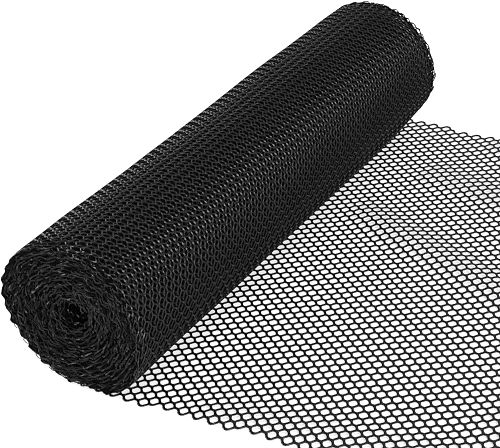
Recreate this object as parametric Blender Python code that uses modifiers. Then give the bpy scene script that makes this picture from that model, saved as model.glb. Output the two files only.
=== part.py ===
"""Roll of plastic poultry netting, with its loose end unrolled on the floor.

Two solids. The roll is the wound web as one body: a spiral outline with a step where the outer turn leaves,
wound bundles that stand out unevenly at both ends, and a hollow core right through it. The loose end is the
sheet that runs out from under it. Metres, +Z up. The floor is Z = 0, the roll lies along Y with its axis
above X = 0 and its middle at Y = 0, and the loose end runs out towards +X.
"""

import math
from collections import namedtuple

import bmesh
import bpy
from mathutils import Vector

# The netting
CELL_WIDTH = 0.01905  # hole to hole across the web: a 3/4 inch mesh
ROW_PITCH = 0.014516  # row of holes to row of holes along the web
SHEET_THICKNESS = 0.003
GAP = 0.0003  # between the two solids

# The roll
HALF_LENGTH = 0.501  # from its middle to the mean place of either end
ROLL_RADIUS = 0.1355
FLAT_HALF_WIDTH = 0.024  # half of the flat spot that it stands on
AXIS_HEIGHT = math.sqrt(ROLL_RADIUS**2 - FLAT_HALF_WIDTH**2)
STEP_X = 0.020  # where the outer turn leaves the roll
STEP_ANGLE = -math.asin(STEP_X / ROLL_RADIUS)  # from straight down, clockwise as seen from the near end
OUTER_TURN = SHEET_THICKNESS + GAP  # the outer turn is one layer thick
CORE_RADIUS = 0.024
CORE_TURN = 0.005  # the innermost turn is one layer too
CORE_OVAL = 0.0025  # how far the core's hollow is drawn out one way and in the other
CORE_OVAL_ANGLE = math.radians(150)
TURNS = 8  # the outer turn, six bundles inside it and the innermost turn
SEGMENTS = 64  # round one turn
GROOVE_DEPTH = 0.0065  # between one bundle and the next, at both ends
END_WANDER = 0.0011  # how much a bundle's ridge wanders in and out as it goes round
NEAR, FAR = -1, 1  # the roll's two ends, by their side along Y
RIM_TUCK = 0.0018  # how much the soft rim draws in at the ends
WALL_STATIONS = (-0.455, -0.36, -0.25, -0.13, 0.0, 0.12, 0.24, 0.35, 0.45)  # along Y, on the outer wall
CORE_STATIONS = (-0.34, -0.12, 0.11, 0.33)  # along Y, in the core

# How far the winding stands out past the mean place of each end, by turns wound in from the outside
EndRow = namedtuple("EndRow", "turns near_out far_out")
END_ROWS = (
    EndRow(0.0, -0.003, 0.020),
    EndRow(0.14, 0.002, 0.016),
    EndRow(0.3, 0.007, 0.011),
    EndRow(0.5, 0.004, 0.008),
    EndRow(1.0, 0.002, 0.005),
    EndRow(1.4, -0.002, -0.001),
    EndRow(1.9, 0.004, -0.003),
    EndRow(2.5, 0.002, 0.002),
    EndRow(3.2, 0.005, 0.004),
    EndRow(3.8, -0.001, 0.000),
    EndRow(4.5, 0.003, -0.004),
    EndRow(5.2, -0.002, 0.003),
    EndRow(6.0, -0.004, 0.000),
    EndRow(6.8, -0.008, -0.004),
    EndRow(8.0, -0.012, -0.007),
)

# Soft swells of the outer wall: their height, and how many waves go round the roll and along it
Swell = namedtuple("Swell", "height around along phase")
SWELLS = (
    Swell(0.0007, 2, 1.4, 0.6),
    Swell(0.0006, 3, -2.1, 2.2),
    Swell(0.0005, 5, 3.3, 4.0),
)

# The loose end
SHEET_START = STEP_X + GAP
FIRST_ROW = 0.032463  # the first row of holes past the step
SHEET_ROWS = 47  # rows of holes to the straight cut at its end
SHEET_LANES = 13  # strips of faces across the web
INNER_NEAR, INNER_FAR = -0.460, 0.490  # the outermost strip along each edge, past these, holds the zigzag
EDGE_WANDER = 0.0008  # how much both edges wander along the web
HOLE_PHASE = 0.00143  # a hole of the even rows has its middle here, and of the odd rows half a cell off

# How far the web reaches across: from each place along it on, no hole has its middle past these lines
Reach = namedtuple("Reach", "from_x near far")
REACHES = (
    Reach(0.000, -0.4980, 0.5200),
    Reach(0.130, -0.4890, 0.5200),
    Reach(0.170, -0.4890, 0.5110),
    Reach(0.300, -0.4795, 0.5110),
)

# Low ripples of the loose end: their height, the line that each runs along, and its half width
Ripple = namedtuple("Ripple", "height x0 y0 x1 y1 half_width")
RIPPLES = (
    Ripple(0.0065, 0.13, 0.17, 0.52, 0.02, 0.060),
    Ripple(0.0040, 0.22, 0.34, 0.60, 0.26, 0.070),
    Ripple(0.0050, 0.30, 0.50, 0.68, 0.46, 0.080),
    Ripple(0.0035, 0.24, -0.47, 0.62, -0.40, 0.060),
    Ripple(0.0040, 0.68, -0.30, 0.74, 0.10, 0.100),
)
RIPPLE_CLEAR = 0.10  # the sheet lies flat this far out from the roll's axis
RIPPLE_RISE = 0.09  # and past that, ripples reach their height over this much

# Finish
NET_COLOUR = (0.012, 0.012, 0.013, 1.0)
NET_ROUGHNESS = 0.38


def clear_scene():
    """Start from an empty scene."""
    for old in list(bpy.data.objects):
        bpy.data.objects.remove(old, do_unlink=True)


def new_material(name):
    """Black extruded plastic, satin."""
    material = bpy.data.materials.new(name)
    material.use_nodes = True
    shader = material.node_tree.nodes["Principled BSDF"]
    shader.inputs["Base Color"].default_value = NET_COLOUR
    shader.inputs["Roughness"].default_value = NET_ROUGHNESS
    shader.inputs["Metallic"].default_value = 0.0
    material.diffuse_color = NET_COLOUR
    return material


def smooth_step(value):
    """0 up to value 0, 1 from value 1, and a smooth rise between them."""
    value = min(max(value, 0.0), 1.0)
    return value * value * (3 - 2 * value)


def stands_out(turns, side):
    """How far the winding stands out at one end, read between the rows of the table."""
    column = "near_out" if side == NEAR else "far_out"
    for low, high in zip(END_ROWS, END_ROWS[1:]):
        if turns <= high.turns:
            share = (turns - low.turns) / (high.turns - low.turns)
            return getattr(low, column) + share * (getattr(high, column) - getattr(low, column))
    return getattr(END_ROWS[-1], column)


def wound_radius(turns):
    """The spiral's radius after this many turns in from the outside."""
    if turns <= 1:
        return ROLL_RADIUS - OUTER_TURN * turns
    if turns >= TURNS - 1:
        return CORE_RADIUS + CORE_TURN * (TURNS - turns)
    bundle = (ROLL_RADIUS - OUTER_TURN - CORE_RADIUS - CORE_TURN) / (TURNS - 2)
    return ROLL_RADIUS - OUTER_TURN - bundle * (turns - 1)


def off_floor(angle):
    """0 at the underside of the roll, where it presses on the floor, and 1 all round above that."""
    return smooth_step((1 - math.cos(angle)) / 0.4)


def swell(angle, y):
    """The outer wall's soft swells, which leave the underside alone."""
    height = 0.0
    for wave in SWELLS:
        along = wave.along * math.pi * y / HALF_LENGTH
        height += wave.height * math.sin(wave.around * angle + along + wave.phase)
    return height * off_floor(angle)


def roll_point(turns, y, tuck=0.0):
    """A point of the winding, this many turns in from the step of the outer turn."""
    angle = STEP_ANGLE + math.tau * turns
    inside = smooth_step((turns - (TURNS - 3)) / 2)
    outside = smooth_step(1.5 - turns)
    radius = wound_radius(turns)
    radius += inside * CORE_OVAL * math.cos(2 * (angle - CORE_OVAL_ANGLE))
    radius += outside * (swell(angle, y) - tuck * off_floor(angle))
    lowest = OUTER_TURN * min(turns, 1.0) if turns > 0.5 else 0.0
    return Vector((-radius * math.sin(angle), y, max(AXIS_HEIGHT - radius * math.cos(angle), lowest)))


def ridge_place(turns, side):
    """Where a bundle's ridge ends along Y, uneven as the web was wound."""
    wander = END_WANDER * (math.sin(11.3 * turns + side) + math.sin(33.7 * turns + 2 * side))
    return side * (HALF_LENGTH + stands_out(turns, side) + wander)


def groove_place(turns, side):
    """Where the groove inside that ridge ends, a groove's depth below the lower of the two beside it."""
    out = min(stands_out(turns, side), stands_out(turns + 0.5, side)) - GROOVE_DEPTH
    return side * (HALF_LENGTH + out)


def build_roll(parts):
    """The wound web as one closed body, its faces laid along the spiral from the outer step to the core."""
    mesh = bmesh.new()
    steps = TURNS * SEGMENTS
    inner_start = steps - SEGMENTS

    def turns_at(step):
        return step / SEGMENTS

    # At each end, a ridge runs in along every turn, with a groove halfway to the next turn
    ridges, grooves = {}, {}
    for side in (NEAR, FAR):
        ridge, groove = [], []
        for step in range(steps + 1):
            turns = turns_at(step)
            ridge.append(mesh.verts.new(roll_point(turns, ridge_place(turns, side), RIM_TUCK)))
        for step in range(inner_start + 1):
            turns = turns_at(step)
            middle = (roll_point(turns, 0.0) + roll_point(turns + 1, 0.0)) / 2
            middle.y = groove_place(turns, side)
            groove.append(mesh.verts.new(middle))
        for step in range(inner_start):
            inner = step + SEGMENTS
            mesh.faces.new((ridge[step], ridge[step + 1], groove[step + 1], groove[step]))
            mesh.faces.new((groove[step], groove[step + 1], ridge[inner + 1], ridge[inner]))
        ridges[side], grooves[side] = ridge, groove

    def wall(first, stations):
        """The spiral wall of one turn, from its near ridge to its far ridge."""
        lines = []
        for step in range(first, first + SEGMENTS + 1):
            turns = turns_at(step)
            between = [mesh.verts.new(roll_point(turns, y)) for y in stations]
            lines.append([ridges[NEAR][step], *between, ridges[FAR][step]])
        for line, following in zip(lines, lines[1:]):
            for place in range(len(line) - 1):
                mesh.faces.new((line[place], line[place + 1], following[place + 1], following[place]))
        return lines[0], lines[-1]

    def step_face(outer, inner, groove):
        """The strip between the two ends of one turn's wall, where the web's own end shows."""
        last = len(outer) - 2
        for place in range(last + 1):
            corners = [outer[place], outer[place + 1]]
            if place == last:
                corners.append(grooves[FAR][groove])
            corners += [inner[place + 1], inner[place]]
            if place == 0:
                corners.append(grooves[NEAR][groove])
            mesh.faces.new(corners)

    outer_start, outer_end = wall(0, WALL_STATIONS)
    step_face(outer_start, outer_end, 0)
    core_start, core_end = wall(inner_start, CORE_STATIONS)
    step_face(core_start, core_end, inner_start)

    bmesh.ops.recalc_face_normals(mesh, faces=mesh.faces)
    bmesh.ops.triangulate(mesh, faces=mesh.faces)
    data = bpy.data.meshes.new("roll")
    mesh.to_mesh(data)
    mesh.free()
    return finish(data, "roll", parts)


def ripple(x, y):
    """How high the loose end lifts off the floor."""
    lift = 0.0
    for fold in RIPPLES:
        run = Vector((fold.x1 - fold.x0, fold.y1 - fold.y0))
        away = Vector((x - fold.x0, y - fold.y0))
        share = away.dot(run) / run.length_squared
        nearest = away - run * min(max(share, 0.0), 1.0)
        lift = max(lift, fold.height * (1 - smooth_step(nearest.length / fold.half_width)))
    return lift * smooth_step((x - RIPPLE_CLEAR) / RIPPLE_RISE)


def edge_places(row):
    """The near and the far edge of the web at one row of holes, where its outermost closed cells end."""
    x = FIRST_ROW + ROW_PITCH * row
    reach = [r for r in REACHES if x >= r.from_x][-1]
    phase = HOLE_PHASE + CELL_WIDTH / 2 * (row % 2)
    first = math.ceil((reach.near - phase) / CELL_WIDTH)
    last = math.floor((reach.far - phase) / CELL_WIDTH)
    wander = EDGE_WANDER * (math.sin(9 * x + 1) + math.sin(23 * x))
    return phase + CELL_WIDTH * (first - 0.5) + wander, phase + CELL_WIDTH * (last + 0.5) + wander


def build_loose_end(parts):
    """The loose end: a flat grid drawn out to the web's zigzag edges, lifted in ripples, then thickened."""
    mesh = bmesh.new()
    bmesh.ops.create_grid(mesh, x_segments=SHEET_ROWS, y_segments=SHEET_LANES, size=1.0)
    for vert in mesh.verts:
        column = round((vert.co.x + 1) / 2 * SHEET_ROWS)
        lane = round((vert.co.y + 1) / 2 * SHEET_LANES)
        x = SHEET_START if column == 0 else FIRST_ROW + ROW_PITCH * (column - 1)
        near, far = edge_places(max(column - 1, 0))
        across = (lane - 1) / (SHEET_LANES - 2)
        y = INNER_NEAR + (INNER_FAR - INNER_NEAR) * across
        if lane == 0:
            y = near
        elif lane == SHEET_LANES:
            y = far
        vert.co = (x, y, ripple(x, y))
    bmesh.ops.recalc_face_normals(mesh, faces=mesh.faces)
    bmesh.ops.triangulate(mesh, faces=mesh.faces)
    data = bpy.data.meshes.new("loose_end")
    mesh.to_mesh(data)
    mesh.free()
    sheet = finish(data, "loose_end", parts)
    thickness = sheet.modifiers.new("Thickness", "SOLIDIFY")
    thickness.thickness = SHEET_THICKNESS
    thickness.offset = 1.0
    thickness.use_even_offset = True
    return sheet


def finish(data, name, parts):
    """Make a mesh an object of the part, with its material and smooth shading."""
    data.shade_smooth()
    data.set_sharp_from_angle(angle=math.radians(40))
    piece = bpy.data.objects.new(name, data)
    piece.data.materials.append(new_material(name + "_netting"))
    parts.objects.link(piece)
    return piece


clear_scene()
netting = bpy.data.collections.new("netting_roll")
bpy.context.scene.collection.children.link(netting)
build_roll(netting)
build_loose_end(netting)
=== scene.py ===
"""Roll of black plastic poultry netting, with its loose end unrolled on the floor: the looks.

The real thing is one web of extruded netting, so every piece here is cut from one flat lattice of cells. The
web's own places are in metres along it, across it and through it. Along it, 0 is where it leaves the roll's
underside. The loose end has the places above 0 and lies on the floor, and those below 0 wind up the roll.
"""

import math
from collections import namedtuple

import bmesh
import bpy
import numpy as np
from mathutils import Matrix, Vector


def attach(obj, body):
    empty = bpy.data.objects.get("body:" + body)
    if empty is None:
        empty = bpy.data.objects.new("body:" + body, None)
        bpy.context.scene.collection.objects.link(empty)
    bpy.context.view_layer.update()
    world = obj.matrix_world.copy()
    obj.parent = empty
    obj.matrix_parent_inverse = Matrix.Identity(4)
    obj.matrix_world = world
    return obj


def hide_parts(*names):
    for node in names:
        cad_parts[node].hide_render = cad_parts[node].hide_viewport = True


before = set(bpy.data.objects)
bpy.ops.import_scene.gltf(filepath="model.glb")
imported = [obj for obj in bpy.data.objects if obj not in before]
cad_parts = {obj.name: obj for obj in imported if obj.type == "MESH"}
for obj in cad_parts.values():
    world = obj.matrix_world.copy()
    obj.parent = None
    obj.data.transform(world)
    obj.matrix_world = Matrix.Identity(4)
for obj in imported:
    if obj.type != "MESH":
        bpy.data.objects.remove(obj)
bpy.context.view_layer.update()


# The camera. It stands over the near right corner and looks down along the roll, a little tilted. It has a
# long lens, and sees the roll whole and most of the loose end.
CAMERA_PLACE = Vector((1.44953, -1.95835, 1.49414))
CAMERA_RIGHT = Vector((0.83483, 0.54165, -0.09836))
CAMERA_DOWN = Vector((0.21154, -0.48059, -0.85105))
CAMERA_LENS, CAMERA_SENSOR = 110.41, 36.0  # mm

bpy.ops.object.select_all(action="DESELECT")
bpy.ops.object.camera_add()
camera = bpy.context.object
camera.data.sensor_width = CAMERA_SENSOR
camera.data.lens = CAMERA_LENS
turned = Matrix((CAMERA_RIGHT, -CAMERA_DOWN, -CAMERA_RIGHT.cross(CAMERA_DOWN))).transposed().to_4x4()
camera.matrix_world = Matrix.Translation(CAMERA_PLACE) @ turned
bpy.context.scene.camera = camera


# The loose end. It is the last stretch of a web of black polyethylene netting, extruded in one piece as a
# lattice of hexagons. It was pulled off the roll and lies on the floor with a few low ripples, and scissors
# cut it straight across.
CELL_WIDTH = 0.01905  # hole to hole across the web: a 3/4 inch mesh
ROW_PITCH = 0.014516  # row of holes to row of holes along the web
SIDE_HALF = 0.0035  # half the length of the strand on either side of a hole, which runs along the web
CELL_REACH = ROW_PITCH - SIDE_HALF  # from the middle of a cell to its pointed ends
HOLE_ALONG = 1.02  # a hole is this many times as long as even strands all round would leave it


def pick(kind, wanted):
    """In edit mode, select just the vertices, edges or faces that are wanted."""
    bpy.ops.mesh.select_mode(type={"verts": "VERT", "edges": "EDGE", "faces": "FACE"}[kind])
    bpy.ops.mesh.select_all(action="DESELECT")
    mesh = bmesh.from_edit_mesh(bpy.context.object.data)
    for element in getattr(mesh, kind):
        if wanted(element):
            element.select_set(True)
    mesh.select_flush_mode()
    bmesh.update_edit_mesh(bpy.context.object.data)


Strand = namedtuple("Strand", "height half_width shoulder_in shoulder_height corner rounding hole_across")
# half its thickness and half its width; its shoulder's place in from the ridge and over the middle, if it has
# one; how far the hole's corners are cut off and its rim is rounded, and what share of its width it keeps


def upper_half_cell(name, strand):
    """The upper half of one cell about the origin, with these strands round its hole.

    Half of each strand round a hole belongs to its cell. The cell's outline is the strands' top ridge, and
    the hole's rim is at half their thickness.
    """
    # An even hexagon, pulled to the width and length of a cell
    bpy.ops.object.select_all(action="DESELECT")
    bpy.ops.mesh.primitive_circle_add(
        vertices=6,
        radius=CELL_REACH,
        fill_type="NGON",
        location=(0, 0, strand.height),
        rotation=(0, 0, math.pi / 2),
    )
    cell = bpy.context.object
    cell.name = name
    bpy.ops.object.transform_apply(location=True, rotation=True, scale=True)
    bpy.ops.object.mode_set(mode="EDIT")
    pick("verts", lambda vert: abs(vert.co.y) > CELL_WIDTH / 4)
    even_along, even_across = CELL_REACH / 2, CELL_REACH * math.sin(math.pi / 3)
    shape = SIDE_HALF / even_along, CELL_WIDTH / 2 / even_across, 1
    bpy.ops.transform.resize(value=shape, center_override=(0, 0, 0))

    # The strands' slope from their ridge down to the hole, over their shoulder
    bpy.ops.mesh.select_all(action="SELECT")
    if strand.shoulder_in:
        bpy.ops.mesh.inset(thickness=strand.shoulder_in, depth=strand.shoulder_height - strand.height)
    rest = strand.half_width - strand.shoulder_in
    bpy.ops.mesh.inset(thickness=rest, depth=-(strand.shoulder_height or strand.height))
    bpy.ops.mesh.delete(type="ONLY_FACE")

    # The hole's own outline
    pick("verts", lambda vert: vert.co.z < strand.height / 10)
    if strand.corner:
        bpy.ops.mesh.bevel(offset=strand.corner, affect="VERTICES")
    if strand.rounding:
        bpy.ops.mesh.subdivide(number_cuts=1, ngon=True)
        bpy.ops.transform.tosphere(value=strand.rounding)
    bpy.ops.transform.resize(value=(HOLE_ALONG, strand.hole_across, 1), center_override=(0, 0, 0))
    bpy.ops.object.mode_set(mode="OBJECT")
    return cell


FLOOR_STRAND = Strand(0.0016, 0.0024, 0.0013, 0.0012, 0, 0.6, 0.93)
floor_cell = upper_half_cell("floor_cell", FLOOR_STRAND)

FIRST_ROW = 0.032463  # along the web, the first row of holes that shows on the floor
HOLE_PHASE = 0.00143  # across it, a hole of the even rows is here, and of the odd rows half a cell over
RUN_GAP = 0.00012  # each run of the web stops this much short of the cut between it and the next one
WEB_SPAN = -0.56, 0.58  # across it, wide enough for every cell
CELLS_MEET = 1e-5  # the corners that neighbouring cells share are nearer to each other than this
SAME_PLACE = 1e-6  # corners nearer to each other than this are one
OVER_RIM = 1e-4  # an edge that reaches over this isn't a hole's rim
SMOOTH_ANGLE = math.radians(13)  # under this much, the strands' facets shade as one

Reach = namedtuple("Reach", "from_place near far")
REACHES = (
    Reach(-99.0, -0.5265, 0.5486),
    Reach(-0.830, -0.5170, 0.5391),
    Reach(-0.060, -0.4980, 0.5200),
    Reach(0.130, -0.4890, 0.5200),
    Reach(0.170, -0.4890, 0.5110),
    Reach(0.300, -0.4795, 0.5110),
)  # from each place along it on, no hole has its middle past these lines across it


def row_place(row):
    """Where a row of holes is along the web."""
    return FIRST_ROW + ROW_PITCH * row


def hole_kept(row, across, near, far):
    """Whether the web still has the hole of this row with its middle here, between two more lines."""
    place = row_place(row)
    low, high = np.full(place.shape, near), np.full(place.shape, far)
    for reach in REACHES:
        past = place >= reach.from_place
        low[past] = np.maximum(near, reach.near)
        high[past] = np.minimum(far, reach.far)
    return (across > low) & (across < high)


def apply_modifier(piece, kind, **settings):
    """Give a piece a modifier with these settings, and apply it."""
    modifier = piece.modifiers.new(kind, kind)
    for key, value in settings.items():
        setattr(modifier, key, value)
    bpy.ops.object.modifier_apply(modifier=modifier.name)


def flat_web(name, cell, first_row, last_row, near=-1.0, far=1.0):
    """A run of flat web, from the middle of one row of holes to the middle of another, as a new object.

    Every other row of cells is half a cell over. The web was slit a little off the lattice's own lines, so
    the number of cells in a row changes along it. Only whole cells stay at its edges.
    """
    bpy.ops.object.select_all(action="DESELECT")
    web = cell.copy()
    web.data = cell.data.copy()
    web.name = web.data.name = name
    bpy.context.scene.collection.objects.link(web)
    web.select_set(True)
    bpy.context.view_layer.objects.active = web

    # Set out the cells, with spare ones on either side
    start_row = first_row - first_row % 2
    low, high = max(near, WEB_SPAN[0]), min(far, WEB_SPAN[1])
    start_cell = math.floor((low - HOLE_PHASE) / CELL_WIDTH) - 1
    cells = math.ceil((high - low) / CELL_WIDTH) + 3
    rows = math.ceil((last_row - start_row + 1) / 2)
    web.location = (row_place(start_row), HOLE_PHASE + CELL_WIDTH * start_cell, 0)
    bpy.ops.object.transform_apply(location=True, rotation=False, scale=False)
    for count, step in (
        (2, (ROW_PITCH, CELL_WIDTH / 2, 0)),
        (rows, (2 * ROW_PITCH, 0, 0)),
        (cells, (0, CELL_WIDTH, 0)),
    ):
        apply_modifier(
            web,
            "ARRAY",
            count=count,
            use_relative_offset=False,
            use_constant_offset=True,
            constant_offset_displace=step,
        )
    apply_modifier(web, "WELD", merge_threshold=CELLS_MEET)

    # Keep the faces of the cells that are wanted, and the outer half of the strands along the web's edges
    centres = np.empty(len(web.data.polygons) * 3)
    web.data.polygons.foreach_get("center", centres)
    along, across = centres.reshape(-1, 3).T[:2]
    distances, kept = [], []
    for row_step in (-1, 0, 1):
        row = np.round((along - FIRST_ROW) / ROW_PITCH) + row_step
        phase = HOLE_PHASE + CELL_WIDTH / 2 * (row % 2)
        for cell_step in (-1, 0, 1):
            middle = phase + CELL_WIDTH * (np.round((across - phase) / CELL_WIDTH) + cell_step)
            distances.append(np.hypot(along - row_place(row), across - middle))
            kept.append(hole_kept(row, middle, near, far))
    two_nearest = np.argsort(np.array(distances), axis=0)[:2]
    stays = np.take_along_axis(np.array(kept), two_nearest, axis=0).any(axis=0)
    bpy.context.tool_settings.mesh_select_mode = (False, False, True)
    web.data.polygons.foreach_set("select", ~stays)
    bpy.ops.object.mode_set(mode="EDIT")
    bpy.ops.mesh.delete(type="FACE")

    # Cut the run's two ends, wall off every cut strand down to half its thickness, and mirror the lower half
    for place, side in ((row_place(first_row) + RUN_GAP, -1), (row_place(last_row) - RUN_GAP, 1)):
        bpy.ops.mesh.select_all(action="SELECT")
        bpy.ops.mesh.bisect(plane_co=(place, 0, 0), plane_no=(side, 0, 0), clear_outer=True)
    pick("edges", lambda edge: edge.is_boundary and max(vert.co.z for vert in edge.verts) > OVER_RIM)
    bpy.ops.mesh.extrude_region()
    bpy.ops.transform.resize(value=(1, 1, 0), center_override=(0, 0, 0))
    bpy.ops.mesh.select_all(action="SELECT")
    bpy.ops.mesh.remove_doubles(threshold=SAME_PLACE)
    bpy.ops.object.mode_set(mode="OBJECT")
    apply_modifier(web, "MIRROR", use_axis=(False, False, True), merge_threshold=SAME_PLACE)
    bpy.ops.object.mode_set(mode="EDIT")
    bpy.ops.mesh.select_all(action="SELECT")
    bpy.ops.mesh.normals_make_consistent(inside=False)
    bpy.ops.object.mode_set(mode="OBJECT")
    bpy.ops.object.shade_smooth_by_angle(angle=SMOOTH_ANGLE)
    return web


def places(piece):
    """The vertices of a piece, as three rows of numbers."""
    numbers = np.empty(len(piece.data.vertices) * 3)
    piece.data.vertices.foreach_get("co", numbers)
    return numbers.reshape(-1, 3).T.copy()


def lay(piece, moved):
    """Move the flat web's vertices to the floor or the roll, and keep their place in the web."""
    attribute = piece.data.attributes.new("web", "FLOAT_VECTOR", "POINT")
    attribute.data.foreach_set("vector", places(piece).T.astype(np.float32).ravel())
    piece.data.vertices.foreach_set("co", np.array(moved).T.astype(np.float32).ravel())
    piece.data.update()


def uneven(along, across, wave, start):
    """Smooth unevenness of about this wavelength over the web, mostly between -1 and 1.

    It is the sum of six waves of different lengths that run across each other every way.
    """
    total = 0.0
    for step in range(6):
        heading = start + 2.4 * step
        length = wave * (0.7 + 0.13 * step)
        forward = along * math.cos(heading) + across * math.sin(heading)
        total = total + np.sin(forward * math.tau / length + start * step)
    return total / 3


LAST_ROW = 46  # the row of holes that the scissors went through
REST_HEIGHT = FLOOR_STRAND.height + 0.0002  # of the web's middle over the floor

Ripple = namedtuple("Ripple", "height x0 y0 x1 y1 half_width")
RIPPLES = (
    Ripple(0.0065, 0.13, 0.17, 0.52, 0.02, 0.060),
    Ripple(0.0040, 0.22, 0.34, 0.60, 0.26, 0.070),
    Ripple(0.0050, 0.30, 0.50, 0.68, 0.46, 0.080),
    Ripple(0.0035, 0.24, -0.47, 0.62, -0.40, 0.060),
    Ripple(0.0040, 0.68, -0.30, 0.74, 0.10, 0.100),
)
RIPPLE_CLEAR, RIPPLE_RISE = 0.10, 0.09  # ripples start this far out, and reach their height over this much
SWAY, SWAY_RISE = 0.0003, 0.1  # how far the lattice's lines wander on the floor, from none at the roll
SWAY_ALONG, SWAY_ACROSS = 0.09, 0.07  # from one bend of those lines to the next but one


def smooth_step(value):
    """0 up to value 0, 1 from value 1, and a smooth rise between them."""
    value = np.clip(value, 0.0, 1.0)
    return value * value * (3 - 2 * value)


def on_floor(along, across, through):
    """Where a point of the web is on the floor."""
    lift = np.zeros(along.shape)
    for fold in RIPPLES:
        run_x, run_y = fold.x1 - fold.x0, fold.y1 - fold.y0
        share = ((along - fold.x0) * run_x + (across - fold.y0) * run_y) / (run_x**2 + run_y**2)
        share = np.clip(share, 0.0, 1.0)
        away = np.hypot(along - fold.x0 - share * run_x, across - fold.y0 - share * run_y)
        lift = np.maximum(lift, fold.height * (1 - smooth_step(away / fold.half_width)))
    lift *= smooth_step((along - RIPPLE_CLEAR) / RIPPLE_RISE)
    sway = SWAY * smooth_step(along / SWAY_RISE)
    return (
        along + sway * uneven(along, across, SWAY_ALONG, 1.0),
        across + sway * uneven(along, across, SWAY_ACROSS, 2.0),
        lift + REST_HEIGHT + through,
    )


loose_end = flat_web("loose_end_net", floor_cell, -1, LAST_ROW)
lay(loose_end, on_floor(*places(loose_end)))
bpy.data.objects.remove(floor_cell, do_unlink=True)


class Flow:
    """A value on its way through a material's nodes. Sums on it add their own Math nodes."""

    def __init__(self, tree, socket=None):
        self.tree, self.socket = tree, socket

    def node(self, kind, settings, values, out=0):
        """Add a node of this type, its settings first, then what goes into it, and give what comes out."""
        node = self.tree.nodes.new(kind)
        for setting, value in settings.items():
            setattr(node, setting, value)
        for socket, value in values.items():
            self.feed(node.inputs[socket], value)
        return Flow(self.tree, node.outputs[out])

    def feed(self, socket, value):
        """Give a socket a value, or link what flows here to it."""
        if isinstance(value, Flow):
            self.tree.links.new(value.socket, socket)
        else:
            socket.default_value = value

    def math(self, operation, first, second):
        return self.node("ShaderNodeMath", {"operation": operation}, {0: first, 1: second})

    def __add__(self, other):
        return self.math("ADD", self, other)

    def __sub__(self, other):
        return self.math("SUBTRACT", self, other)

    def __rsub__(self, other):
        return self.math("SUBTRACT", other, self)

    def __mul__(self, other):
        return self.math("MULTIPLY", self, other)

    __radd__, __rmul__ = __add__, __mul__

    def over(self, low, high):
        """0 up to one value, 1 from another, and a straight rise between them."""
        return self.node(
            "ShaderNodeMapRange", {"clamp": True}, {"Value": self, "From Min": low, "From Max": high}
        )

    def blend(self, first, second):
        """From the first colour, where this is 0, to the second, where it is 1."""
        return self.node("ShaderNodeMix", {"data_type": "RGBA"}, {0: self, 6: first, 7: second}, 2)

    def grain(self, place, scale, detail=2.0):
        """Cloudy grain over these places, with so many spots to the metre."""
        return self.node("ShaderNodeTexNoise", {}, {"Vector": place, "Scale": scale, "Detail": detail})


# The plastic, where it is rubbed, and its dust
BLACK, WORN, PALE = (0.0050, 0.0050, 0.0054), (0.0078, 0.0077, 0.0075), (0.045, 0.044, 0.041)
SWELLING = 0.0004  # how far the lattice's joints, at the holes' sides, swell out
FINE = 0.066  # how high the marks on the skin are, as a share of that


def net_plastic(name, specular, thick, shade=1.0):
    """The netting's black polyethylene: glossy, with the die's lines, duller patches and dust."""
    material = bpy.data.materials.new(name)
    material.use_nodes = True
    shader = material.node_tree.nodes["Principled BSDF"]
    flow = Flow(material.node_tree)
    web = flow.node("ShaderNodeAttribute", {"attribute_name": "web"}, {}, "Vector")
    along = flow.node("ShaderNodeSeparateXYZ", {}, {0: web}, 0)
    through = flow.node("ShaderNodeSeparateXYZ", {}, {0: web}, 2)

    # What hands and storage leave: dust on the strands' ridges, more of it where the gloss is rubbed off
    ridge = through.math("ABSOLUTE", through, 0.0).over(0.45 * thick, thick)
    patches = flow.grain(web, 16.0, 3.0).over(0.38, 0.64)
    specks = flow.grain(web, 520.0).over(0.62, 0.72)
    dust = ridge * specks * (0.35 + 0.65 * patches)
    # shade under 1 darkens all three colours: painted shade, for turns that little light reaches
    black, worn, pale = ((*(shade * part for part in colour), 1) for colour in (BLACK, WORN, PALE))
    flow.feed(shader.inputs["Base Color"], (0.5 * dust).blend(patches.blend(black, worn), pale))

    # What the die leaves: fine lines along the web, and a swelling at each hole's sides
    drawn = flow.node("ShaderNodeMapping", {}, {"Vector": web, "Scale": (0.05, 1, 1)})
    lines = flow.grain(drawn, 2600.0)
    flow.feed(shader.inputs["Roughness"], 0.20 + 0.07 * patches + 0.06 * lines + 0.22 * dust)
    row_turn = (along - FIRST_ROW) * (math.tau / ROW_PITCH)
    swelling = row_turn.math("COSINE", row_turn, 0.0)
    marks = lines + 0.6 * flow.grain(web, 1500.0) + 0.8 * dust
    relief = {"Strength": 1.0, "Distance": SWELLING, "Height": swelling + FINE * marks}
    flow.feed(shader.inputs["Normal"], flow.node("ShaderNodeBump", {}, relief))
    shader.inputs["Specular IOR Level"].default_value = specular
    return material


loose_end.data.materials.clear()
loose_end.data.materials.append(net_plastic("loose_end_plastic", 0.45, FLOOR_STRAND.height))
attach(loose_end, "root")
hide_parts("loose_end")


# The outer turn of the winding. The same web goes on round the roll from its underside, up the back, over the
# top and down the front, turn inside turn. Only its own stiffness holds it, so the turns wander along the
# roll, and its cut edges are pushed together where the roll was stood on end.
AXIS_HEIGHT = 0.13336
OUTER_RADIUS = 0.1347  # to the middle of the outer turn
TURN_PITCH = 0.00515  # from turn to turn, on average
TURNS = 21
TIGHTER = (
    (0, 1, 2, 3, 4, 5, 21),
    (0, 0.0030, 0.0058, 0.0084, 0.0107, 0.0125, 0),
)  # by turns, how much further out they lie than evenly spaced ones
FLAT_SPOT = REST_HEIGHT, REST_HEIGHT + 0.0027  # how low the outer turn, and those inside it, can lie
FREE_HEIGHT = 0.4  # of the radius: how far over its lowest line the wall is free of the floor

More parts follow.
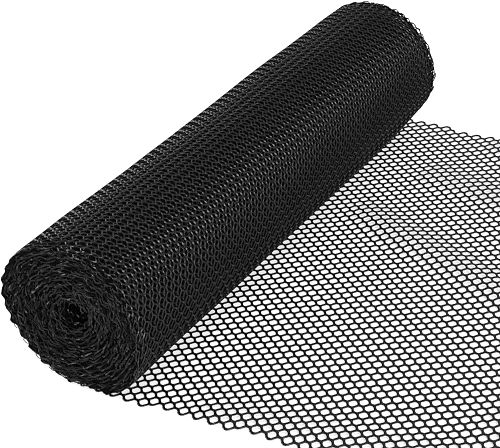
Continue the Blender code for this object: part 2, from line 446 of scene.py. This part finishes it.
Ends = namedtuple("Ends", "turns near far")
ENDS = (
    Ends(0.00, -0.4986, 0.5205),
    Ends(0.07, -0.4965, 0.5200),
    Ends(0.14, -0.4990, 0.5170),
    Ends(0.30, -0.5060, 0.5065),
    Ends(0.50, -0.5055, 0.5045),
    Ends(0.75, -0.5045, 0.5065),
    Ends(1.00, -0.5035, 0.5075),
    Ends(2.30, -0.5010, 0.5055),
    Ends(4.00, -0.5045, 0.5045),
    Ends(6.00, -0.5025, 0.5045),
    Ends(8.30, -0.5055, 0.5045),
    Ends(10.4, -0.5000, 0.5005),
    Ends(12.7, -0.5035, 0.4965),
    Ends(15.0, -0.4985, 0.5035),
    Ends(17.7, -0.4965, 0.5005),
    Ends(21.0, -0.4900, 0.4940),
)  # the mean places of the web's two edges, by turns wound in
DRIFT = (
    (0, 0.3, 1.0, 1.2, 2.0, 2.2, 21),
    (0, -0.007, -0.007, 0.004, 0.004, 0.001, 0.003),
)  # by turns, how far the web has wandered along the roll
FLAT_EDGES = (
    (0, 0.03, 0.09, 0.99, 1.0),
    (-0.4986, -0.4986, -0.5177, -0.5177, -0.5272),
    (0.5205, 0.5205, 0.5396, 0.5396, 0.5491),
)  # by turns, where its edges would be without its cells being pushed together there
CROWDED = 0.055, 0.085  # how far in from the near and the far edge that reaches

Swell = namedtuple("Swell", "height around along phase")
SWELLS = (
    Swell(0.0007, 2, 1.4, 0.6),
    Swell(0.0006, 3, -2.1, 2.2),
    Swell(0.0005, 5, 3.3, 4.0),
)  # of the outer wall: how many waves go round the roll and along it
ROLL_HALF = 0.501  # half of the roll's length, which the waves along it are counted over
SAG = 0.0112  # how far the front hangs out
SAG_MIDDLE, SAG_REACH = 0.87, 0.18  # by turns from the underside, where it does, and how far either way
SAG_ENDS = (1.2, 1.7), (0.56, 0.3)  # along the roll, where that would fade to nothing, and over what length
SAG_TURNS = 9  # how many turns in it is gone
TAPER, TAPER_FROM, TAPER_LENGTH = 0.002, 0.42, 0.08  # how much thinner the roll gets at its far end
EDGE_SHARE, RIM_SHARE = 1 / 16, 0.030  # of the web's width, how much of it is its edge, and how much its rim
LOOSE, EDGE_LOOSE, LOOSE_WAVE = 0.0002, 0.0005, 0.11  # how far turns stand off, and further at the edges
RIM_LOOSE, RIM_LOOSE_WAVE = 0.0030, 0.019  # how much further they do at the rims, after the outermost turn
BUNCH, BUNCH_PITCH = 0.0007, 0.031  # how far turns bunch up at the edges, and from bunch to bunch
EDGE_WANDER, EDGE_WANDER_WAVE = 0.0022, 0.23  # how far the edges wander along the roll
RIM_WANDER, RIM_WANDER_WAVE = 0.0024, 0.023  # and how far the rims do besides
TIPS, INNER_TIPS = 0.0015, 0.0017  # how far the cut tips stand out, and how much more after the second turn


def wound_length(turns):
    """How much of the web is in this many turns from the outside."""
    angle = math.tau * turns
    return OUTER_RADIUS * angle - TURN_PITCH / math.tau * angle**2 / 2


def turn_row(turns):
    """The row of holes nearest to this many turns in."""
    return round((-wound_length(turns) - FIRST_ROW) / ROW_PITCH)


def on_roll(along, across, through):
    """Where a point of the web is on the roll."""
    draw = TURN_PITCH / math.tau
    angle = (OUTER_RADIUS - np.sqrt(OUTER_RADIUS**2 + 2 * draw * np.minimum(along, 0.0))) / draw
    turns = angle / math.tau

    # Its place between the web's two edges, near which the cells are pushed together
    drift = np.interp(turns, *DRIFT)
    near = np.interp(turns, [row.turns for row in ENDS], [row.near for row in ENDS])
    far = np.interp(turns, [row.turns for row in ENDS], [row.far for row in ENDS])
    from_near = across - np.interp(turns, FLAT_EDGES[0], FLAT_EDGES[1])
    from_far = np.interp(turns, FLAT_EDGES[0], FLAT_EDGES[2]) - across
    push = (near - drift - across + from_near) * np.clip(1 - from_near / CROWDED[0], 0, 1.2) ** 2
    pull = (across + from_far + drift - far) * np.clip(1 - from_far / CROWDED[1], 0, 1.2) ** 2
    y = across + drift + push - pull
    share = (y - near) / (far - near)

    # Its distance from the axis: the spiral, the sag, the thinner far end, the swells and the loose edges
    radius = OUTER_RADIUS - draw * angle + np.interp(turns, *TIGHTER)
    sag = np.cos(np.clip((turns % 1.0 - SAG_MIDDLE) / SAG_REACH, -1, 1) * math.pi / 2) ** 2
    for end, length in SAG_ENDS:
        sag = sag * smooth_step((end - y) / length)
    radius += SAG * sag * np.clip(1 - turns / SAG_TURNS, 0, 1)
    off_floor = smooth_step((1 - np.cos(angle)) / FREE_HEIGHT)
    radius -= TAPER * off_floor * smooth_step((y - TAPER_FROM) / TAPER_LENGTH)
    swell = 0.0
    for wave in SWELLS:
        place = wave.around * angle + wave.along * math.pi * y / ROLL_HALF
        swell = swell + wave.height * np.sin(place + wave.phase)
    at_edge = smooth_step((np.abs(share - 0.5) - 0.5) / EDGE_SHARE + 1)
    at_rim = smooth_step((np.abs(share - 0.5) - 0.5) / RIM_SHARE + 1)
    loose = (LOOSE + EDGE_LOOSE * at_edge) * uneven(along, across, LOOSE_WAVE, 3.0)
    radius += off_floor * (swell * (1 - turns / TURNS) + loose)
    rim_loose = RIM_LOOSE * at_rim * uneven(along, across, RIM_LOOSE_WAVE, 7.0)
    radius += off_floor * rim_loose * np.clip((turns - 0.3) / 2, 0, 1)
    bunch = np.sin(math.tau * radius / BUNCH_PITCH + 2.0 * np.sin(angle + 1.0) + 1.5 * np.sin(2 * angle))
    radius += off_floor * at_edge * BUNCH * bunch * np.clip(turns - 0.2, 0, 1)

    # How far the edges wander along the roll, and how far every other row's tip stands out from them
    y += EDGE_WANDER * at_edge * uneven(along, across, EDGE_WANDER_WAVE, 5.0)
    y += RIM_WANDER * at_rim * uneven(along, across, RIM_WANDER_WAVE, 6.0)
    tip = np.where(along > REACHES[1].from_place, 1, -1) * np.cos(math.pi * (along - FIRST_ROW) / ROW_PITCH)
    y += (TIPS + INNER_TIPS * smooth_step(turns - 2)) * at_rim * np.sign(share - 0.5) * tip

    # Where that is in the model, and no lower than the turn can lie
    lowest = np.where(turns < 0.5, FLAT_SPOT[0], FLAT_SPOT[1])
    x = np.maximum(along, 0.0) - radius * np.sin(angle)
    z = np.maximum(AXIS_HEIGHT - radius * np.cos(angle), lowest)
    return x + through * np.sin(angle), y, z + through * np.cos(angle)


WOUND_STRAND = Strand(0.0011, 0.0013, 0, 0, 0.0013, 0, 1.0)
wound_cell = upper_half_cell("wound_cell", WOUND_STRAND)
wall_plastic = net_plastic("wall_plastic", 0.34, WOUND_STRAND.height)


def wind(piece, material):
    """Wind a flat run of web on the roll, and give it its plastic and its place in the model."""
    lay(piece, on_roll(*places(piece)))
    piece.data.materials.clear()
    piece.data.materials.append(material)
    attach(piece, "root")
    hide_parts("roll")


wind(flat_web("outer_turn_net", wound_cell, turn_row(1), -1), wall_plastic)


# The turns under the outer one. They are the same web one to three turns further in, and they show through
# its holes. Little light gets there, so the two deepest are given painted shade: their plastic's colours are
# darkened and it shines less. Their holes' corners are left sharp.
inner_cell = upper_half_cell("inner_cell", WOUND_STRAND._replace(corner=0))
shaded_plastic = net_plastic("shaded_plastic", 0.13, WOUND_STRAND.height, 0.7)
for turn, name, cell, plastic in (
    (1, "second_turn_net", wound_cell, wall_plastic),
    (2, "third_turn_net", inner_cell, shaded_plastic),
    (3, "fourth_turn_net", inner_cell, shaded_plastic),
):
    wind(flat_web(name, cell, turn_row(turn + 1), turn_row(turn)), plastic)


# The edges of the turns further in. They are the web's own cut strands, which show at the roll's two ends as
# crowded rings. They lie in each other's shade and shine less than the wall.
EDGE_DEPTH = 3.6 * CELL_WIDTH
EDGE_TURNS = 4, 19  # from the one to the other only the edges are made
end_plastic = net_plastic("end_plastic", 0.2, WOUND_STRAND.height)

for name, cell, near, far in (
    ("near_edge_net", wound_cell, -1.0, FLAT_EDGES[1][-1] + EDGE_DEPTH),
    ("far_edge_net", inner_cell, FLAT_EDGES[2][-1] - EDGE_DEPTH, 1.0),
):
    edge = flat_web(name, cell, turn_row(EDGE_TURNS[1]), turn_row(EDGE_TURNS[0]), near, far)
    wind(edge, end_plastic)


# The innermost turns. They are the start of the web, which was wound on a bar that was then pulled out. They
# line the hollow core from end to end.
core_turns = flat_web("core_turns_net", inner_cell, turn_row(TURNS), turn_row(EDGE_TURNS[1]))
wind(core_turns, end_plastic)
for cell in (wound_cell, inner_cell):
    bpy.data.objects.remove(cell, do_unlink=True)


# The middle of the winding, where the turns lie so close that their strands cross every way and no light
# comes through. It is one body, from the core to just under the whole turns, and it thins out under the outer
# turn's edges.
MIDDLE_PROFILE = (
    (0.1235, 0.055),
    (0.1315, 0.022),
    (0.1335, 0.009),
    (0.1343, -0.0035),
    (0.1325, 0.004),
    (0.1285, 0.014),
    (0.1080, 0.020),
    (0.0420, 0.040),
    (0.0420, 0.939),
    (0.1080, 0.963),
    (0.1325, 0.986),
    (0.1340, 0.992),
    (0.1315, 0.978),
    (0.1235, 0.945),
)  # how far from the axis, before the outer turn's unevenness, and how far across the web, from 0 to 1
MIDDLE_STEPS, MIDDLE_CUTS = 240, 12  # round the axis, and along its long sides
FLANGE_TEETH = 0.0035  # how far its near edge goes in and out with the outer turn's rows

# The profile goes round the axis with its shares of the width as lengths, and is then laid in the winding
bpy.ops.object.select_all(action="DESELECT")
bpy.ops.mesh.primitive_circle_add(vertices=len(MIDDLE_PROFILE), fill_type="NOTHING")
middle = bpy.context.object
middle.name = middle.data.name = "wound_middle"
profile = np.array([(radius, share, 0) for radius, share in MIDDLE_PROFILE])
middle.data.vertices.foreach_set("co", profile.ravel())
bpy.ops.object.mode_set(mode="EDIT")
bpy.ops.mesh.select_all(action="SELECT")
bpy.ops.mesh.spin(steps=MIDDLE_STEPS, angle=math.tau, center=(0, 0, 0), axis=(0, 1, 0), use_auto_merge=True)
bpy.ops.mesh.select_all(action="SELECT")
bpy.ops.mesh.remove_doubles(threshold=SAME_PLACE)
bpy.ops.mesh.normals_make_consistent(inside=False)
pick("edges", lambda edge: abs(edge.verts[0].co.y - edge.verts[1].co.y) > 0.5)
bpy.ops.mesh.subdivide(number_cuts=MIDDLE_CUTS)
bpy.ops.object.mode_set(mode="OBJECT")
bpy.ops.object.shade_smooth_by_angle(angle=math.radians(30))
x, y, z = places(middle)
turns = np.arctan2(-x, -z) / math.tau % 1.0
along = -wound_length(turns)
near_edge = np.interp(turns, FLAT_EDGES[0], FLAT_EDGES[1])
far_edge = np.interp(turns, FLAT_EDGES[0], FLAT_EDGES[2])
across = near_edge + y * (far_edge - near_edge)
across -= (y < 0) * FLANGE_TEETH * np.cos(math.pi * (along - FIRST_ROW) / ROW_PITCH)
x, y, z = on_roll(along, across, OUTER_RADIUS - np.hypot(x, z))
middle.data.vertices.foreach_set("co", np.array((x, y, z)).T.ravel())
middle.data.update()

# Its colour is painted shade and light: the strands that cross in its depth, thin and hardly lit, the deeper
# ones dimmer, over painted shade, near black, between them
DEEP_SHADE, DEEP_STRAND = (0.0008, 0.0008, 0.0008, 1), (0.006, 0.006, 0.0063, 1)
deep = bpy.data.materials.new("deep_turns")
deep.use_nodes = True
deep_shader = deep.node_tree.nodes["Principled BSDF"]
flow = Flow(deep.node_tree)
place = flow.node("ShaderNodeTexCoord", {}, {}, "Object")
stretched = flow.node("ShaderNodeMapping", {}, {"Vector": place, "Scale": (1.0, 0.7, 1.0)})
to_edge = {"feature": "DISTANCE_TO_EDGE"}
coarse = flow.node("ShaderNodeTexVoronoi", to_edge, {"Vector": stretched, "Scale": 85.0})
fine = flow.node("ShaderNodeTexVoronoi", to_edge, {"Vector": place, "Scale": 150.0})
strands = 1 - coarse.over(0.06, 0.16)
deeper = 1 - fine.over(0.05, 0.14)
lit = strands * (0.45 + 0.55 * flow.grain(place, 40.0)) + 0.35 * deeper * (1 - strands)
flow.feed(deep_shader.inputs["Base Color"], lit.blend(DEEP_SHADE, DEEP_STRAND))
flow.feed(deep_shader.inputs["Roughness"], 0.85 - 0.35 * lit)
relief = {"Strength": 0.6, "Distance": 0.0012, "Height": strands + 0.4 * deeper}
flow.feed(deep_shader.inputs["Normal"], flow.node("ShaderNodeBump", {}, relief))
deep_shader.inputs["Specular IOR Level"].default_value = 0.06

middle.data.materials.clear()
middle.data.materials.append(deep)
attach(middle, "root")
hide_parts("roll")


# The floor. It is a wide sheet of matt white paper, and everything lies on it. It is lit so that it shows white
# all over.
PAPER_SIZE, PAPER_DROP = 40, 0.0002  # how wide it is, and how far under the model it lies
PAPER_DARK, PAPER_PALE = (0.79, 0.79, 0.79, 1), (0.81, 0.81, 0.81, 1)
PAPER_GLOW = 0.46  # in place of more lamps

bpy.ops.object.select_all(action="DESELECT")
bpy.ops.mesh.primitive_plane_add(size=PAPER_SIZE, location=(0, 0, -PAPER_DROP))
floor = bpy.context.object
floor.name = "floor"
paper = bpy.data.materials.new("floor_paper")
paper.use_nodes = True
paper_shader = paper.node_tree.nodes["Principled BSDF"]
flow = Flow(paper.node_tree)
place = flow.node("ShaderNodeTexCoord", {}, {}, "Object")
tone = flow.grain(place, 3.0)
flow.feed(paper_shader.inputs["Base Color"], tone.blend(PAPER_DARK, PAPER_PALE))
flow.feed(paper_shader.inputs["Roughness"], 0.86 + 0.08 * tone)
paper_shader.inputs["Emission Color"].default_value = (1, 1, 1, 1)
paper_shader.inputs["Emission Strength"].default_value = PAPER_GLOW
floor.data.materials.append(paper)


# The studio's light. It has white walls all round, a large soft light low in front on the right, which draws
# the bright rows of strands along the roll, one low on the left, which picks out its back, and a faint one
# over it.
WALLS_LIGHT = 0.62
LAMP_DISTANCE = 9.0  # from the middle of the roll's underside

world = bpy.data.worlds.new("studio")
bpy.context.scene.world = world
world.use_nodes = True
world.node_tree.nodes["Background"].inputs["Color"].default_value = (1, 1, 1, 1)
world.node_tree.nodes["Background"].inputs["Strength"].default_value = WALLS_LIGHT


def softbox(name, toward, width, length, watts):
    """A rectangular soft light that shines at the roll from this side, its length across the roll's axis."""
    bpy.ops.object.light_add(type="AREA")
    light = bpy.context.object
    light.name = name
    light.data.shape = "RECTANGLE"
    light.data.size = width
    light.data.size_y = length
    light.data.energy = watts
    back = Vector(toward).normalized()
    side = (Vector((0, 1, 0)) - back * back.y).normalized()
    turned = Matrix((side, back.cross(side), back)).transposed().to_4x4()
    light.matrix_world = Matrix.Translation(back * LAMP_DISTANCE) @ turned


softbox("right", (0.665, -0.58, 0.47), 3.6, 3.6, 520)
softbox("over", (0.30, -0.05, 0.95), 3.0, 3.0, 110)
softbox("left", (-0.93, -0.08, 0.36), 3.2, 4.0, 250)
bpy.context.scene.view_settings.view_transform = "Standard"

# The picture is sharpened a little in display values, as the photograph was
DISPLAY_GAMMA, SHARPEN = 2.2, 0.22
bpy.context.scene.use_nodes = True
tree = bpy.context.scene.node_tree
layers = next(node for node in tree.nodes if node.bl_idname == "CompositorNodeRLayers")
output = next(node for node in tree.nodes if node.bl_idname == "CompositorNodeComposite")
to_display = tree.nodes.new("CompositorNodeGamma")
to_display.inputs["Gamma"].default_value = 1 / DISPLAY_GAMMA
crisp = tree.nodes.new("CompositorNodeFilter")
crisp.filter_type = "SHARPEN_DIAMOND"
crisp.inputs["Fac"].default_value = SHARPEN
to_light = tree.nodes.new("CompositorNodeGamma")
to_light.inputs["Gamma"].default_value = DISPLAY_GAMMA
tree.links.new(layers.outputs["Image"], to_display.inputs["Image"])
tree.links.new(to_display.outputs["Image"], crisp.inputs["Image"])
tree.links.new(crisp.outputs["Image"], to_light.inputs["Image"])
tree.links.new(to_light.outputs["Image"], output.inputs["Image"])
